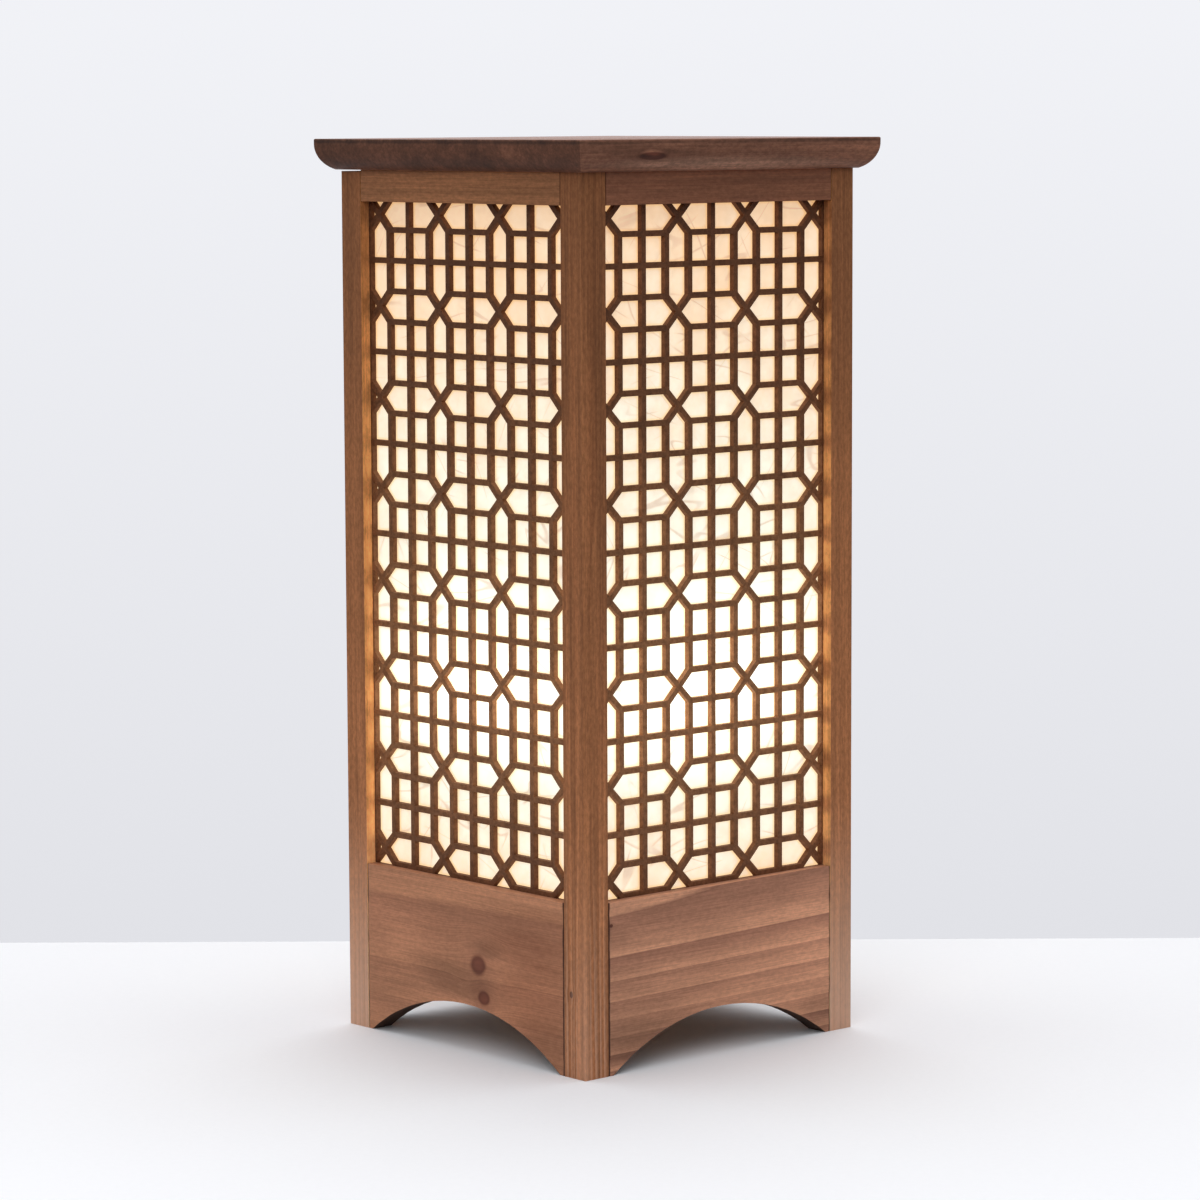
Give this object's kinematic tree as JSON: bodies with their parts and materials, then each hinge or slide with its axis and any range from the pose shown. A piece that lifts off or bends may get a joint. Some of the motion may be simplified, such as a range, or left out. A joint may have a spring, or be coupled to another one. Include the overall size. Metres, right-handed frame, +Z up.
{
  "type": "paper lamp",
  "caption": "Square wooden table lamp with lattice windows backed by paper, arched bottom panels and a moulded top board that lifts off to reach the bulb.",
  "frame": {"origin": "on the floor, under the middle of the square body", "axes": "+Z up along the lamp's height; -Y out of the front side; +X out of the right side"},
  "size_m": [0.199, 0.199, 0.4478],
  "materials": {
    "post_wood": "brown stained softwood, satin",
    "rail_wood": "brown stained softwood, satin",
    "panel_wood": "brown stained softwood, satin",
    "lattice_wood": "dark brown stained sheet, cut through",
    "paper": "fibrous mulberry paper, lit from behind",
    "top_wood": "dark stained softwood, satin",
    "inner_wood": "plain stained softwood",
    "plywood": "bare plywood",
    "rubber": "matte black",
    "porcelain": "white glaze",
    "brass": "pressed sheet",
    "steel": "zinc plated",
    "bulb_metal": "nickel plated",
    "bulb_insulator": "black vitrified",
    "bulb_plastic": "white moulded",
    "bulb_opal": "opal diffuser"
  },
  "bodies": {
    "frame": {"front_right_post": "post_wood", "back_right_post": "post_wood", "back_left_post": "post_wood", "front_left_post": "post_wood", "front_top_rail": "rail_wood", "right_top_rail": "rail_wood", "back_top_rail": "rail_wood", "left_top_rail": "rail_wood", "front_bottom_panel": "panel_wood", "right_bottom_panel": "panel_wood", "back_bottom_panel": "panel_wood", "left_bottom_panel": "panel_wood", "front_lattice": "lattice_wood", "right_lattice": "lattice_wood", "back_lattice": "lattice_wood", "left_lattice": "lattice_wood", "front_paper": "paper", "right_paper": "paper", "back_paper": "paper", "left_paper": "paper", "front_base_cleat": "inner_wood", "right_base_cleat": "inner_wood", "back_base_cleat": "inner_wood", "left_base_cleat": "inner_wood", "base_board": "plywood", "cord_grommet": "rubber", "holder_body": "porcelain", "holder_shell": "brass", "holder_contact": "brass", "holder_screw_1": "steel", "holder_screw_2": "steel"},
    "lid": {"top_board": "top_wood", "front_lid_batten": "inner_wood", "right_lid_batten": "inner_wood", "back_lid_batten": "inner_wood", "left_lid_batten": "inner_wood"},
    "bulb_tip": {"bulb_tip": "bulb_metal"},
    "bulb": {"bulb_insulator": "bulb_insulator", "bulb_cap": "bulb_metal", "bulb_housing": "bulb_plastic", "bulb_led_board": "bulb_plastic", "bulb_dome": "bulb_opal"}
  },
  "joints": [
    {"name": "lid_lift", "type": "slide", "parent": "frame", "child": "lid", "axis": [0, 0, 1], "range_m": [0, 0.05]},
    {"name": "bulb_lift", "type": "slide", "parent": "frame", "child": "bulb_tip", "axis": [0, 0, 1], "range_m": [0, 0.0109]},
    {"name": "bulb_turn", "type": "hinge", "parent": "bulb_tip", "child": "bulb", "pos_m": [0, 0, 0.0874], "axis": [0, 0, 1], "range_deg": [0, 1080]}
  ],
  "couplings": [
    {"joint": "bulb_lift", "follows": "bulb_turn", "m_per_rad": 0.00057773}
  ]
}
